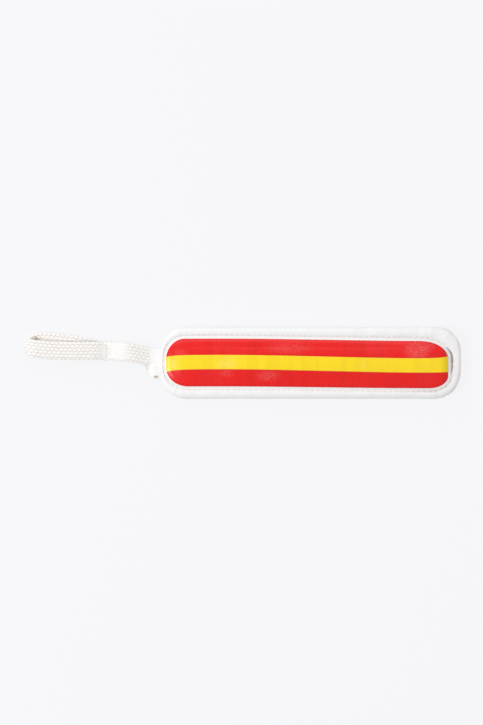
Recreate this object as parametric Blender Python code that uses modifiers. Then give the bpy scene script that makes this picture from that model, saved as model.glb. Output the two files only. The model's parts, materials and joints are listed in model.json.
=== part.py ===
"""A flat padded hand baton: a striped leatherette pad with a braided wrist loop.

The pad is a sewn case around two foam sheets and a stiffener board. It lies on its back on
z = 0 with its length along X and its face up, and the wrist loop leaves its -X end.
All lengths are in metres.
"""

from math import cos, exp, hypot, pi, radians, sin

import bmesh
import bpy
from mathutils import Vector

# The pad's outline and its heights above the table.
PAD_LENGTH = 0.200
PAD_WIDTH = 0.048
PAD_CORNER = 0.0165
PAD_SQUARENESS = 2.1
RIM_BOTTOM = 0.0009
RIM_HEIGHT = 0.0094
SEAM_DIP = 0.0005
FACE_CROWN = 0.0126

# Sheet goods.
LEATHERETTE = 0.0009
FILM = 0.0002
STIFFENER = 0.0012
THREAD_RADIUS = 0.0002

# The striped print, by its distances to the pad's outline.
PRINT_MARGIN_LOOP_END = 0.0037
PRINT_MARGIN_FAR_END = 0.0086
PRINT_MARGIN_SIDE = 0.0076
PRINT_ROUNDNESS = 0.762
YELLOW_WIDTH = 0.0091

# The seam runs round the print: first the binding's edge, then the row of stitches.
BINDING_TO_PRINT = 0.0011
STITCHES_TO_PRINT = 0.0020

# Where the seam is left open, at the far end.
SLIT_LENGTH = 0.0194
SLIT_WIDTH = 0.0023
SLIT_CENTRE_Y = 0.0037

# How far the layers reach into the rim.
FLANGE_SHARE = 0.45
CREST_SHARE = 0.45
FOAM_INSET = 0.0010
SLIT_FOAM_INSET = 0.0010
BACK_STEP = 0.0025

# The curves of the face's dome and of the rim's flank.
DOME_SHARES = (0.0, 0.35, 0.6, 0.8)
DOME_FLATNESS = 2.4
DOME_FALL = 0.6
FLANK_ROUNDNESS = 2.3
OUTER_FLANK_SHARES = (0.5, 0.8, 0.95)
INNER_FLANK_SHARES = (0.6, 0.9)

# The stiffener board, by its distances to the pad's outline.
BOARD_MARGIN = 0.008
BOARD_CORNER = 0.010
BOARD_TO_TAILS = 0.004

# The flat braid, where it is free and where its tails are sewn in.
STRAP_WIDTH = 0.012
STRAP_THICKNESS = 0.0028
TAIL_WIDTH = 0.0090
TAIL_THICKNESS = 0.0022
TAIL_DEPTH = 0.014
UPPER_TAIL_Y = 0.0042
LOWER_TAIL_Y = -0.0054
WIDENING = 0.006

# The fold line that the loop turns about, by its distance to the pad's end, and the loop's
# two ends, each a half round about that line whose tip is blunt.
HINGE_OUT = 0.0043
HINGE_CLEARANCE = 0.0004
END_REACH = 0.95 * STRAP_THICKNESS / 2

# The tack that joins the loop's two legs.
TACK_OUT = 0.0365
TACK_SQUEEZE = 0.0006
TACK_LIFT = 0.0007
TACK_PLAY = 0.0004
TACK_REACH = 0.0035
TACK_SWING = 0.0007
TACK_STITCHES = 6

# The loop's two levels on the table, and the space between touching pieces.
GAP = 0.0003
TABLE_CLEARANCE = 0.0002
LEG_SPACING = 0.0050

# Resolution.
CORNER_STEPS = 6
LONG_STEPS = 6
SHORT_STEPS = 4
ROUTE_STEPS = 3
MERGE = 1e-6

# Heights of the sewn stack, from the table up.
LOWER_LIP_TOP = RIM_BOTTOM + LEATHERETTE
BACK_FLANGE_BOTTOM = LOWER_LIP_TOP + GAP
BACK_FOAM_EDGE = BACK_FLANGE_BOTTOM + LEATHERETTE + GAP
RIM_MIDDLE = RIM_BOTTOM + RIM_HEIGHT / 2
RIM_CREST = RIM_BOTTOM + RIM_HEIGHT
UPPER_LIP_TOP = RIM_CREST - SEAM_DIP
FACE_FLANGE_TOP = UPPER_LIP_TOP - LEATHERETTE - GAP
FRONT_FOAM_EDGE = FACE_FLANGE_TOP - LEATHERETTE - GAP
STRAP_LEVEL = (BACK_FOAM_EDGE + FRONT_FOAM_EDGE) / 2

# The wrist loop's two levels, and the fold line.
LOW = STRAP_THICKNESS / 2 + TABLE_CLEARANCE
HIGH = LOW + LEG_SPACING
TACK_LOW = LOW + TACK_LIFT
TACK_HIGH = TACK_LOW + STRAP_THICKNESS - TACK_SQUEEZE + TACK_PLAY
HINGE_X = -PAD_LENGTH / 2 - HINGE_OUT

# The braid's centre line from the upper tail, round the loop and back to the lower tail:
# distance out from the pad's end, y and z.
LOOP_ROUTE = [
    (HINGE_OUT - END_REACH, UPPER_TAIL_Y, STRAP_LEVEL),
    (HINGE_OUT, UPPER_TAIL_Y, STRAP_LEVEL),
    (0.0080, 0.0044, STRAP_LEVEL + 0.0005),
    (0.0140, 0.0056, HIGH - 0.0002),
    (0.0220, 0.0070, HIGH),
    (0.0300, 0.0078, HIGH - 0.0003),
    (TACK_OUT, 0.0081, TACK_HIGH),
    (0.0430, 0.0081, HIGH - 0.0005),
    (0.0520, 0.0081, HIGH),
    (0.0660, 0.0082, HIGH),
    (0.0780, 0.0088, HIGH),
    (0.0860, 0.0098, HIGH - 0.0004),
    (0.0895, 0.0111, (LOW + HIGH) / 2),
    (0.0862, 0.0126, LOW + 0.0004),
    (0.0790, 0.0137, LOW),
    (0.0660, 0.0126, LOW),
    (0.0520, 0.0106, LOW),
    (0.0430, 0.0092, LOW + 0.0001),
    (TACK_OUT, 0.0082, TACK_LOW),
    (0.0290, 0.0075, LOW + 0.0002),
    (0.0200, 0.0065, LOW),
    (0.0145, 0.0055, LOW + 0.0002),
    (0.0108, 0.0036, LOW + 0.0008),
    (0.0084, -0.0006, STRAP_LEVEL - 0.0019),
    (0.0065, -0.0042, STRAP_LEVEL - 0.0006),
    (HINGE_OUT, LOWER_TAIL_Y, STRAP_LEVEL),
    (HINGE_OUT - END_REACH, LOWER_TAIL_Y, STRAP_LEVEL),
]


def empty_scene():
    """Remove every object, so that the script can be run again."""
    for thing in list(bpy.data.objects):
        bpy.data.objects.remove(thing, do_unlink=True)


def new_collection(name):
    """A collection in the scene."""
    collection = bpy.data.collections.new(name)
    bpy.context.scene.collection.children.link(collection)
    return collection


def material(name, colour, roughness, metallic=0.0):
    """A plain Principled material."""
    made = bpy.data.materials.new(name)
    made.use_nodes = True
    shader = made.node_tree.nodes["Principled BSDF"]
    shader.inputs["Base Color"].default_value = (*colour, 1.0)
    shader.inputs["Roughness"].default_value = roughness
    shader.inputs["Metallic"].default_value = metallic
    return made


def add_object(name, data, collection, surface=None):
    """An object in a collection, with its material."""
    made = bpy.data.objects.new(name, data)
    collection.objects.link(made)
    if surface:
        data.materials.append(surface)
    return made


def shade(mesh, angle=40):
    """Smooth shading with the creases kept."""
    mesh.shade_smooth()
    mesh.set_sharp_from_angle(angle=radians(angle))


def outline(half_length, half_width, corner, centre_x, squareness=2.0):
    """A rounded rectangle's points, counter-clockwise from the +X end of its +Y corner.

    Every outline has the same number of points, so any two of them can be lofted. Its corners
    are quarter circles at a squareness of 2, and fuller above that.
    """
    flat_x = half_length - corner
    flat_y = half_width - corner
    power = 2 / squareness
    arcs = []
    for quarter, (side_x, side_y) in enumerate([(1, 1), (-1, 1), (-1, -1), (1, -1)]):
        arc = []
        for step in range(CORNER_STEPS + 1):
            angle = (quarter + step / CORNER_STEPS) * pi / 2
            reach_x = side_x * (flat_x + corner * abs(cos(angle)) ** power)
            reach_y = side_y * (flat_y + corner * abs(sin(angle)) ** power)
            arc.append(Vector((centre_x + reach_x, reach_y, 0.0)))
        arcs.append(arc)
    points = []
    for quarter, arc in enumerate(arcs):
        points += arc
        following = arcs[(quarter + 1) % 4][0]
        steps = SHORT_STEPS if quarter % 2 else LONG_STEPS
        points += [arc[-1].lerp(following, step / steps) for step in range(1, steps)]
    return points


def pad_outline(inset=0.0):
    """The pad's outline, moved in by a distance."""
    half_length = PAD_LENGTH / 2 - inset
    half_width = PAD_WIDTH / 2 - inset
    return outline(half_length, half_width, PAD_CORNER - inset, 0.0, PAD_SQUARENESS)


def seam_half_width(beyond_print=BINDING_TO_PRINT):
    """Half the width of an outline round the print."""
    return PAD_WIDTH / 2 - PRINT_MARGIN_SIDE + beyond_print


def seam_ring(share, beyond_print=BINDING_TO_PRINT):
    """An outline round the print: share 1 lies beyond the print, share 0 is its middle line."""
    length = PAD_LENGTH - PRINT_MARGIN_LOOP_END - PRINT_MARGIN_FAR_END + 2 * beyond_print
    centre_x = (PRINT_MARGIN_LOOP_END - PRINT_MARGIN_FAR_END) / 2
    half_width = seam_half_width(beyond_print)
    corner = PRINT_ROUNDNESS * seam_half_width(0.0) + beyond_print
    half_length = length / 2 - half_width * (1 - share)
    return outline(half_length, half_width * share, corner * share, centre_x)


def gape(point):
    """How wide the seam stands open at a point: 1 in the slit's middle, 0 away from it."""
    if point.x < 0:
        return 0.0
    share = (point.y - SLIT_CENTRE_Y) / (SLIT_LENGTH / 2)
    return max(0.0, 1.0 - share * share)


def at_height(points, height):
    """Points moved to a height."""
    return [Vector((point.x, point.y, height)) for point in points]


def loft(name, rings, collection, surface, joined=False, capped=False):
    """A closed skin over rings of equal length; joined links the last ring to the first."""
    shell = bmesh.new()
    rows = [[shell.verts.new(point) for point in ring] for ring in rings]
    pairs = list(zip(rows, rows[1:]))
    if joined:
        pairs.append((rows[-1], rows[0]))
    for row, following in pairs:
        for index in range(len(row)):
            after = (index + 1) % len(row)
            shell.faces.new((row[index], row[after], following[after], following[index]))
    if capped:
        shell.faces.new(rows[0])
        shell.faces.new(rows[-1])
    bmesh.ops.remove_doubles(shell, verts=shell.verts, dist=MERGE)
    bmesh.ops.recalc_face_normals(shell, faces=shell.faces)
    mesh = bpy.data.meshes.new(name)
    shell.to_mesh(mesh)
    shell.free()
    shade(mesh)
    return add_object(name, mesh, collection, surface)


def box(name, low, high, collection, surface=None):
    """A block between two corners."""
    block = bmesh.new()
    bmesh.ops.create_cube(block, size=1.0)
    size = [high[axis] - low[axis] for axis in range(3)]
    middle = [(high[axis] + low[axis]) / 2 for axis in range(3)]
    bmesh.ops.scale(block, vec=size, verts=block.verts)
    bmesh.ops.translate(block, vec=middle, verts=block.verts)
    mesh = bpy.data.meshes.new(name)
    block.to_mesh(mesh)
    block.free()
    return add_object(name, mesh, collection, surface)


def cutter(name, low, high, collection):
    """A block that only cuts."""
    made = box(name, low, high, collection)
    made.hide_render = True
    made.display_type = "WIRE"
    return made


def cut(target, tool, operation):
    """A Boolean on a target."""
    boolean = target.modifiers.new(tool.name, "BOOLEAN")
    boolean.object = tool
    boolean.operation = operation
    boolean.solver = "EXACT"


def thread(name, points, collection, surface, cyclic=False):
    """A sewing thread along points."""
    curve = bpy.data.curves.new(name, "CURVE")
    curve.dimensions = "3D"
    curve.bevel_depth = THREAD_RADIUS
    curve.bevel_resolution = 1
    curve.use_fill_caps = True
    spline = curve.splines.new("POLY")
    spline.points.add(len(points) - 1)
    for knot, point in zip(spline.points, points):
        knot.co = (*point, 1.0)
    spline.use_cyclic_u = cyclic
    return add_object(name, curve, collection, surface)


def dome(share):
    """The face panel's upper surface over the pad's width: 0 on the middle line, 1 at the seam."""
    rise = FACE_CROWN - FACE_FLANGE_TOP
    return FACE_FLANGE_TOP + rise * (1 - share**DOME_FLATNESS) ** DOME_FALL


def print_share():
    """Where the print's edge lies between the middle line and the seam."""
    return seam_half_width(0.0) / seam_half_width()


def flange():
    """The edge of both panels, tucked into the binding and drawn back at the slit."""
    edge = []
    for seam, rim in zip(seam_ring(1.0), pad_outline()):
        edge.append(seam.lerp(rim, FLANGE_SHARE * (1 - gape(seam))))
    return edge


def build_face_panel(collection, leatherette):
    """The domed upper panel, one sheet from the middle line to its flange in the binding."""
    shares = [*DOME_SHARES, print_share(), 1.0]
    top = [at_height(seam_ring(share), dome(share)) for share in shares]
    top.append(at_height(flange(), FACE_FLANGE_TOP))
    down = Vector((0.0, 0.0, -LEATHERETTE))
    bottom = [[point + down for point in ring] for ring in reversed(top)]
    return loft("face_panel", top + bottom, collection, leatherette)


def build_back_panel(collection, leatherette):
    """The lower panel: flat where the pad rests, stepped up to its flange in the binding."""
    flat_share = 1 - BACK_STEP / seam_half_width()
    bottom = [
        at_height(seam_ring(0.0), 0.0),
        at_height(seam_ring(flat_share), 0.0),
        at_height(seam_ring(1.0), BACK_FLANGE_BOTTOM),
        at_height(seam_flange_without_slit(), BACK_FLANGE_BOTTOM),
    ]
    up = Vector((0.0, 0.0, LEATHERETTE))
    top = [[point + up for point in ring] for ring in reversed(bottom)]
    return loft("back_panel", bottom + top, collection, leatherette)


def seam_flange_without_slit():
    """The back panel's edge, which has no slit."""
    pairs = zip(seam_ring(1.0), pad_outline())
    return [seam.lerp(rim, FLANGE_SHARE) for seam, rim in pairs]


def build_bands(collection, cutters, red, yellow):
    """The print: one film over the face, parted into two red bands and a yellow one."""
    shares = [*DOME_SHARES, print_share()]
    bottom = [at_height(seam_ring(share), dome(share) + GAP) for share in shares]
    up = Vector((0.0, 0.0, FILM))
    top = [[point + up for point in ring] for ring in reversed(bottom)]
    half = YELLOW_WIDTH / 2
    bands = [
        ("upper_red_band", half + GAP, PAD_WIDTH, red),
        ("yellow_band", -half, half, yellow),
        ("lower_red_band", -PAD_WIDTH, -half - GAP, red),
    ]
    for name, low_y, high_y, surface in bands:
        film = loft(name, bottom + top, collection, surface)
        low = (-PAD_LENGTH, low_y, 0.0)
        high = (PAD_LENGTH, high_y, 2 * FACE_CROWN)
        cut(film, cutter(name + "_cutter", low, high, cutters), "INTERSECT")


def flank(crest, nose, crest_height, shares):
    """Places on the rim's rounded flank, from share 0 at its crest to share 1 at its nose."""
    places = []
    for share in shares:
        bulge = (1 - share**FLANK_ROUNDNESS) ** (1 / FLANK_ROUNDNESS)
        height = RIM_MIDDLE + (crest_height - RIM_MIDDLE) * bulge
        places.append((crest.lerp(nose, share), height))
    return places


def binding_section(lip, nose, inner_nose):
    """The binding's C section at one place: down its outer side, then back up its inner side."""
    crest = lip.lerp(nose, CREST_SHARE)
    inner_top = RIM_CREST - LEATHERETTE
    outer = [(lip, UPPER_LIP_TOP), (lip.lerp(crest, 0.5), RIM_CREST - SEAM_DIP / 4)]
    outer.append((crest, RIM_CREST))
    outer += flank(crest, nose, RIM_CREST, OUTER_FLANK_SHARES)
    outer.append((nose, RIM_MIDDLE))
    outer += flank(crest, nose, RIM_BOTTOM, reversed(OUTER_FLANK_SHARES))
    outer += [(crest, RIM_BOTTOM), (lip, RIM_BOTTOM)]
    inner = [(lip, LOWER_LIP_TOP), (crest, LOWER_LIP_TOP)]
    inner += flank(crest, inner_nose, LOWER_LIP_TOP, INNER_FLANK_SHARES)
    inner.append((inner_nose, RIM_MIDDLE))
    inner += flank(crest, inner_nose, inner_top, reversed(INNER_FLANK_SHARES))
    inner += [(crest, inner_top), (lip, UPPER_LIP_TOP - LEATHERETTE)]
    return [Vector((point.x, point.y, height)) for point, height in outer + inner]


def build_binding(collection, leatherette):
    """The rolled strip over the pad's whole edge; its upper lip stands back at the slit."""
    sections = []
    for seam, nose, inner in zip(seam_ring(1.0), pad_outline(), pad_outline(LEATHERETTE)):
        outward = (nose - seam).normalized()
        lip = seam + outward * SLIT_WIDTH * gape(seam)
        sections.append(binding_section(lip, nose, inner))
    return loft("edge_binding", sections, collection, leatherette, joined=True)


def build_front_foam(collection, foam):
    """The upper foam sheet, which gives the face its dome."""
    shares = [*DOME_SHARES, print_share()]
    under = LEATHERETTE + GAP
    top = [at_height(seam_ring(share), dome(share) - under) for share in shares]
    drawn_in = seam_ring(1.0, BINDING_TO_PRINT - SLIT_FOAM_INSET)
    rim = pad_outline(LEATHERETTE + FOAM_INSET)
    shoulder = []
    edge = []
    for seam, inner, outer in zip(seam_ring(1.0), drawn_in, rim):
        shoulder.append(seam.lerp(inner, gape(seam)))
        edge.append(outer.lerp(inner, gape(seam)))
    top.append(at_height(shoulder, FRONT_FOAM_EDGE))
    top.append(at_height(edge, FRONT_FOAM_EDGE))
    floor = STRAP_LEVEL + STIFFENER / 2 + GAP
    bottom = [at_height(edge, floor), at_height(seam_ring(0.0), floor)]
    return loft("front_foam", top + bottom, collection, foam)


def build_back_foam(collection, foam):
    """The lower foam sheet, under the stiffener board."""
    flat_share = 1 - BACK_STEP / seam_half_width()
    edge = pad_outline(LEATHERETTE + FOAM_INSET)
    bottom = [
        at_height(seam_ring(0.0), LEATHERETTE + GAP),
        at_height(seam_ring(flat_share), LEATHERETTE + GAP),
        at_height(seam_ring(1.0), BACK_FOAM_EDGE),
        at_height(edge, BACK_FOAM_EDGE),
    ]
    ceiling = STRAP_LEVEL - STIFFENER / 2 - GAP
    top = [at_height(edge, ceiling), at_height(seam_ring(0.0), ceiling)]
    return loft("back_foam", bottom + top, collection, foam)


def build_board(collection, plastic):
    """The stiffener board, a flat plate that stops short of the strap's tails."""
    low_x = -PAD_LENGTH / 2 + TAIL_DEPTH + BOARD_TO_TAILS
    high_x = PAD_LENGTH / 2 - BOARD_MARGIN
    half_width = PAD_WIDTH / 2 - BOARD_MARGIN
    ring = outline((high_x - low_x) / 2, half_width, BOARD_CORNER, (low_x + high_x) / 2)
    curve = bpy.data.curves.new("stiffener_board", "CURVE")
    curve.dimensions = "2D"
    curve.fill_mode = "BOTH"
    curve.extrude = STIFFENER / 2
    spline = curve.splines.new("POLY")
    spline.points.add(len(ring) - 1)
    for knot, point in zip(spline.points, ring):
        knot.co = (point.x, point.y, 0.0, 1.0)
    spline.use_cyclic_u = True
    board = add_object("stiffener_board", curve, collection, plastic)
    board.location.z = STRAP_LEVEL
    return board


def stitch_row():
    """The row of stitches from one end of the slit, round the pad, to the slit's other end."""
    row = []
    rows = zip(seam_ring(1.0), seam_ring(1.0, STITCHES_TO_PRINT), pad_outline())
    for seam, stitch, nose in rows:
        row.append((gape(seam), seam, stitch, nose))
    start = next(i for i, entry in enumerate(row) if entry[0] == 0 and row[i - 1][0] > 0)
    turned = row[start:] + row[:start]
    return [entry[1:] for entry in turned if entry[0] == 0]


def build_threads(collection, surface):
    """The stitches: the needle's thread on the upper lip and the bobbin's under the lower lip."""
    above = []
    below = []
    for seam, stitch, nose in stitch_row():
        crest = seam.lerp(nose, CREST_SHARE)
        share = min(1.0, (stitch - seam).length / (crest - seam).length)
        lip = RIM_CREST - SEAM_DIP * (1 - share) ** 2
        above.append((stitch.x, stitch.y, lip + GAP + THREAD_RADIUS))
        below.append((stitch.x, stitch.y, RIM_BOTTOM - GAP - THREAD_RADIUS))
    thread("topstitch_thread", above, collection, surface)
    thread("bobbin_thread", below, collection, surface)


def tail_pocket(cutters):
    """The room that the strap's tails take in the rim's end and between the foam sheets."""
    half = TAIL_THICKNESS / 2 + GAP
    low_y = LOWER_TAIL_Y - TAIL_WIDTH / 2 - GAP
    high_y = UPPER_TAIL_Y + TAIL_WIDTH / 2 + GAP
    low = (-PAD_LENGTH / 2 - LEATHERETTE, low_y, STRAP_LEVEL - half)
    high = (-PAD_LENGTH / 2 + TAIL_DEPTH + GAP, high_y, STRAP_LEVEL + half)
    return cutter("tail_pocket", low, high, cutters)


def build_tails(collection, braid):
    """The strap's two ends, side by side in the rim, up to the fold line."""
    inner_x = -PAD_LENGTH / 2 + TAIL_DEPTH
    outer_x = HINGE_X + STRAP_THICKNESS / 2 + HINGE_CLEARANCE
    half = TAIL_THICKNESS / 2
    tails = [("upper_strap_tail", UPPER_TAIL_Y), ("lower_strap_tail", LOWER_TAIL_Y)]
    for name, middle_y in tails:
        low = (outer_x, middle_y - TAIL_WIDTH / 2, STRAP_LEVEL - half)
        high = (inner_x, middle_y + TAIL_WIDTH / 2, STRAP_LEVEL + half)
        tail = box(name, low, high, collection, braid)
        bevel = tail.modifiers.new("rounded", "BEVEL")
        bevel.width = TAIL_THICKNESS / 4
        bevel.segments = 2


def smooth_route(points, steps):
    """A Catmull-Rom curve through points, with a number of steps between each two."""
    ends = [points[0]] + points + [points[-1]]
    curve = []
    for index in range(1, len(ends) - 2):
        a, b, c, d = ends[index - 1 : index + 3]
        for step in range(steps):
            t = step / steps
            square = 2 * a - 5 * b + 4 * c - d
            cube = 3 * b - a - 3 * c + d
            curve.append(0.5 * (2 * b + (c - a) * t + square * t**2 + cube * t**3))
    curve.append(points[-1])
    return curve


def strap_size(point):
    """The braid's width and thickness at a point: round at its ends and thin at the tack."""
    out = -PAD_LENGTH / 2 - point.x
    if out < HINGE_OUT:
        return TAIL_WIDTH, 2 * ((STRAP_THICKNESS / 2) ** 2 - (HINGE_OUT - out) ** 2) ** 0.5
    widened = min(1.0, (out - HINGE_OUT) / WIDENING)
    width = TAIL_WIDTH + (STRAP_WIDTH - TAIL_WIDTH) * widened
    squeeze = TACK_SQUEEZE * exp(-(((out - TACK_OUT) / TACK_REACH) ** 2))
    return width, STRAP_THICKNESS - squeeze


def strap_section(width, thickness):
    """A flat section with round edges: pairs across the braid and through it."""
    half = thickness / 2
    flat = width / 2 - half
    section = []
    for side in (1, -1):
        for angle in (-90, -45, 0, 45, 90):
            turn = radians(angle)
            section.append((side * (flat + half * cos(turn)), side * half * sin(turn)))
    return section


def build_wrist_loop(collection, braid):
    """The free part of the strap, turned about the fold line; its section stays level in Y."""
    knots = [Vector((-PAD_LENGTH / 2 - out, y, z)) for out, y, z in LOOP_ROUTE]
    route = smooth_route(knots, ROUTE_STEPS)
    rings = []
    for index, point in enumerate(route):
        along = route[min(index + 1, len(route) - 1)] - route[max(index - 1, 0)]
        size = hypot(along.x, along.z)
        through = Vector((-along.z / size, 0.0, along.x / size))
        across = Vector((0.0, 1.0, 0.0))
        section = strap_section(*strap_size(point))
        rings.append([point + across * a + through * b for a, b in section])
    return loft("wrist_loop", rings, collection, braid, capped=True)


def build_tack(collection, surface):
    """The tack thread: a zigzag over the upper leg, straight back under the lower one."""
    half_width = STRAP_WIDTH / 2 + GAP + THREAD_RADIUS
    half_thickness = (STRAP_THICKNESS - TACK_SQUEEZE) / 2 + GAP + THREAD_RADIUS
    tack_x = -PAD_LENGTH / 2 - TACK_OUT
    middle_y = next(y for out, y, z in LOOP_ROUTE if out == TACK_OUT)
    over = TACK_HIGH + half_thickness
    under = TACK_LOW - half_thickness
    points = []
    for stitch in range(TACK_STITCHES + 1):
        y = middle_y + half_width * (1 - 2 * stitch / TACK_STITCHES)
        swing = TACK_SWING if stitch % 2 else -TACK_SWING
        points.append((tack_x + swing, y, over))
    points.append((tack_x, middle_y - half_width, (over + under) / 2))
    points += [(tack_x, middle_y - half_width, under), (tack_x, middle_y + half_width, under)]
    points.append((tack_x, middle_y + half_width, (over + under) / 2))
    thread("loop_tack_thread", points, collection, surface, cyclic=True)


def hang_on_fold_line(names, collection):
    """Parent the turning pieces to an empty on the fold line."""
    pivot = bpy.data.objects.new("fold_line", None)
    pivot.location = (HINGE_X, 0.0, STRAP_LEVEL)
    collection.objects.link(pivot)
    bpy.context.view_layer.update()
    for name in names:
        piece = bpy.data.objects[name]
        piece.parent = pivot
        piece.matrix_parent_inverse = pivot.matrix_world.inverted()


def main():
    """Build the whole baton."""
    empty_scene()
    parts = new_collection("padded_hand_baton")
    cutters = new_collection("cutters")
    white = material("white_leatherette", (0.86, 0.86, 0.85), 0.45)
    red = material("red_film", (0.78, 0.01, 0.01), 0.3)
    yellow = material("yellow_film", (0.95, 0.65, 0.0), 0.3)
    foam = material("foam", (0.75, 0.73, 0.66), 0.95)
    plastic = material("stiffener_plastic", (0.3, 0.3, 0.3), 0.5)
    cotton = material("white_thread", (0.85, 0.85, 0.83), 0.8)
    braid = material("white_braid", (0.88, 0.87, 0.84), 0.85)
    build_face_panel(parts, white)
    build_back_panel(parts, white)
    build_bands(parts, cutters, red, yellow)
    binding = build_binding(parts, white)
    front = build_front_foam(parts, foam)
    back = build_back_foam(parts, foam)
    pocket = tail_pocket(cutters)
    for piece in (binding, front, back):
        cut(piece, pocket, "DIFFERENCE")
    build_board(parts, plastic)
    build_threads(parts, cotton)
    build_tails(parts, braid)
    build_wrist_loop(parts, braid)
    build_tack(parts, cotton)
    hang_on_fold_line(["wrist_loop", "loop_tack_thread"], parts)


main()
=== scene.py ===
"""The looks of a padded hand baton: a striped leatherette pad with a braided wrist strap.

The pad lies on its back on z = 0 with its length along X, and the strap leaves its -X end.
Every length is in metres.
"""

import json
from math import copysign, cos, exp, pi, radians, sin, sqrt

import bmesh
import bpy
from bpy.props import FloatProperty, FloatVectorProperty, IntProperty, PointerProperty
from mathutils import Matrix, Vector, noise
from mathutils.bvhtree import BVHTree
from mathutils.kdtree import KDTree


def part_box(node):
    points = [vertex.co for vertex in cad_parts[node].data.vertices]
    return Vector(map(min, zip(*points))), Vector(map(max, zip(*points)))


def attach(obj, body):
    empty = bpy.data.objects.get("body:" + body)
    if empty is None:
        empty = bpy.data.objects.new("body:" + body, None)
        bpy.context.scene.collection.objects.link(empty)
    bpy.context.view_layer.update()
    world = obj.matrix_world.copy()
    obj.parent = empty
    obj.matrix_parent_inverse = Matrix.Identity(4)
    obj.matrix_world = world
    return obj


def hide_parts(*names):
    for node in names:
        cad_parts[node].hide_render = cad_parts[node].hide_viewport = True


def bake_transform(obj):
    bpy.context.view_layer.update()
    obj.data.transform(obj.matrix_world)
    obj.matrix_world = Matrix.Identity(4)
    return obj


bl_info = {
    "name": "Padded hand baton",
    "version": (1, 0, 0),
    "blender": (4, 5, 0),
    "location": "3D View > Sidebar > Baton",
    "description": "Builds the soft pieces of a padded hand baton round its packed parts",
    "category": "Add Mesh",
}

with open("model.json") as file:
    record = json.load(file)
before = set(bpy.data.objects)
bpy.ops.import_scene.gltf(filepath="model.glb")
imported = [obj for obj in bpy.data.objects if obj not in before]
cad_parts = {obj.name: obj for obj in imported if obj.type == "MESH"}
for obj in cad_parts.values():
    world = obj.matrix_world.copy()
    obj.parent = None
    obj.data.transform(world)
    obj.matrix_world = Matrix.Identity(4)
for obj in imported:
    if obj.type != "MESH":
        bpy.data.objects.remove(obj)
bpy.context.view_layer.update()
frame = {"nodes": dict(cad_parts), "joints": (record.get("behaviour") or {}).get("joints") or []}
RIM_LOW, RIM_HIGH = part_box("edge_binding")
FACE_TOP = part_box("face_panel")[1].z
PRINT_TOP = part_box("upper_red_band")[1].y
PRINT_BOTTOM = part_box("lower_red_band")[0].y
YELLOW_LOW, YELLOW_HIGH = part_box("yellow_band")
PRINT_LEFT = YELLOW_LOW.x
PRINT_RIGHT = YELLOW_HIGH.x
UPPER_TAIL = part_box("upper_strap_tail")
LOWER_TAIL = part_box("lower_strap_tail")
HINGE = Vector(frame["joints"][0]["pos_m"])

# The pad's outline, from its centre.
HALF_LENGTH = (RIM_HIGH.x - RIM_LOW.x) / 2
HALF_WIDTH = (RIM_HIGH.y - RIM_LOW.y) / 2
PAD_CORNER = 0.0165
PAD_SQUARENESS = 2.1
WORN_CORNER = 0.0185

# Heights of the sewn stack.
LEATHER = 0.0009
LIP_TOP = RIM_HIGH.z - 0.0005
FLANGE_TOP = LIP_TOP - LEATHER - 0.0003
RIM_MIDDLE = (RIM_LOW.z + RIM_HIGH.z) / 2
STRAP_LEVEL = HINGE.z

# The seam runs round the print: the binding's edge first, then the row of stitches.
LIP_OFFSET = 0.0011
STITCH_OFFSET = 0.0021

# The binding's crest and the panels' flange, as shares of the way out to the rim.
CREST_SHARE = 0.45
FLANGE_SHARE = 0.45
FLANK_ROUNDNESS = 2.3

# Of the way round the binding's section: its outer side's part, and the flanks' part of each side.
OUTER_END = 0.64
OUTER_FLANK = (0.34, 0.84)
INNER_FLANK = (0.2, 0.8)

# Frames of the simulation that blows the face up.
SWELL_FRAMES = 20

# Where a cover's flange begins, of the way out from its middle line.
FLANGE_START = 0.86

# Clearances: the face over the foam, the face under the binding, the film over the face.
FOAM_SPARE = 0.00012
LIP_SPARE = 0.0001
FILM_RISE = 0.00022
FILM_THICKNESS = 0.00018
BAND_GAP = 0.00003
PRINT_END_SPARE = 0.0003

# Where the seam gapes, at the pad's +X end.
SLIT_CENTRE_Y = 0.0014
SLIT_HALF = 0.0092
SLIT_WIDTH = 0.0022
SLIT_START_X = 0.080

# Patches of painted sheen and painted highlight on the print: x, y, half length, half width and
# strength.
RED_SHEEN_PATCHES = [
    (0.0700, 0.0080, 0.0105, 0.0080, 0.9),
    (0.0780, 0.0110, 0.0060, 0.0050, 0.4),
    (-0.0290, -0.0085, 0.0110, 0.0050, 0.55),
    (-0.0560, -0.0070, 0.0060, 0.0035, 0.45),
    (-0.0150, 0.0100, 0.0200, 0.0060, 0.35),
    (-0.0860, 0.0070, 0.0060, 0.0030, 0.3),
]
YELLOW_SHEEN_PATCHES = [
    (-0.0545, 0.0005, 0.0070, 0.0070, 0.75),
    (-0.0600, -0.0020, 0.0050, 0.0040, 0.5),
    (-0.0915, -0.0010, 0.0022, 0.0060, 0.8),
    (0.0350, -0.0010, 0.0030, 0.0060, 0.3),
]

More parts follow.
